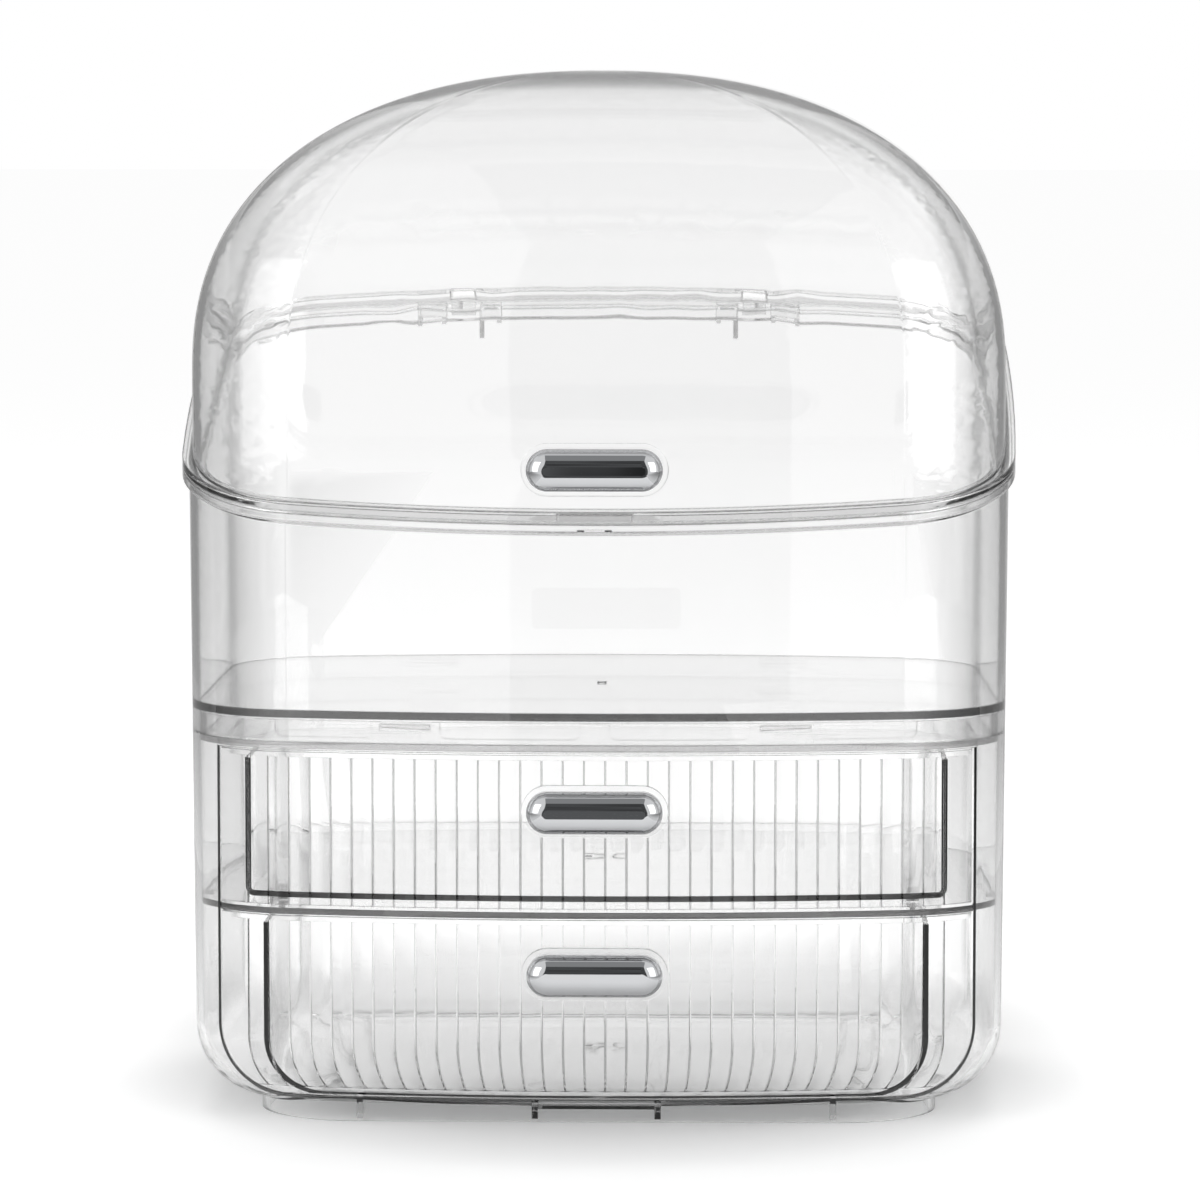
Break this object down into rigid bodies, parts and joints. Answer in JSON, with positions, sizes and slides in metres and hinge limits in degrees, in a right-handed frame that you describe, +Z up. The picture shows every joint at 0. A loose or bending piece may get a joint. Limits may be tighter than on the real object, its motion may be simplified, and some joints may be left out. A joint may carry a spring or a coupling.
{
  "type": "storage organizer",
  "caption": "Clear tabletop storage organizer: open tray under a hinged domed lid, on a cabinet with two fluted pull-out drawers.",
  "frame": {"origin": "on the standing plane, under the centre of the body's plan outline", "axes": "+Z up; front with the drawers and pulls toward -Y; +X to the viewer's right; the width lies along X"},
  "size_m": [0.2816, 0.2168, 0.349],
  "materials": {
    "clear_plastic": "clear glossy moulded plastic",
    "chrome_plate": "bright plated pull"
  },
  "bodies": {
    "cabinet": {"cabinet_shell": "clear_plastic", "drawer_shelf": "clear_plastic", "top_deck": "clear_plastic", "tray": "clear_plastic"},
    "lid": {"lid_dome": "clear_plastic", "lid_handle": "chrome_plate"},
    "upper_drawer_body": {"upper_drawer": "clear_plastic", "upper_drawer_handle": "chrome_plate"},
    "lower_drawer_body": {"lower_drawer": "clear_plastic", "lower_drawer_handle": "chrome_plate"}
  },
  "joints": [
    {"name": "lid_hinge", "type": "hinge", "parent": "cabinet", "child": "lid", "pos_m": [0, 0.103, 0.2635], "axis": [-1, 0, 0], "range_deg": [0, 100]},
    {"name": "upper_drawer_slide", "type": "slide", "parent": "cabinet", "child": "upper_drawer_body", "axis": [0, -1, 0], "range_m": [0, 0.148]},
    {"name": "lower_drawer_slide", "type": "slide", "parent": "cabinet", "child": "lower_drawer_body", "axis": [0, -1, 0], "range_m": [0, 0.148]}
  ]
}
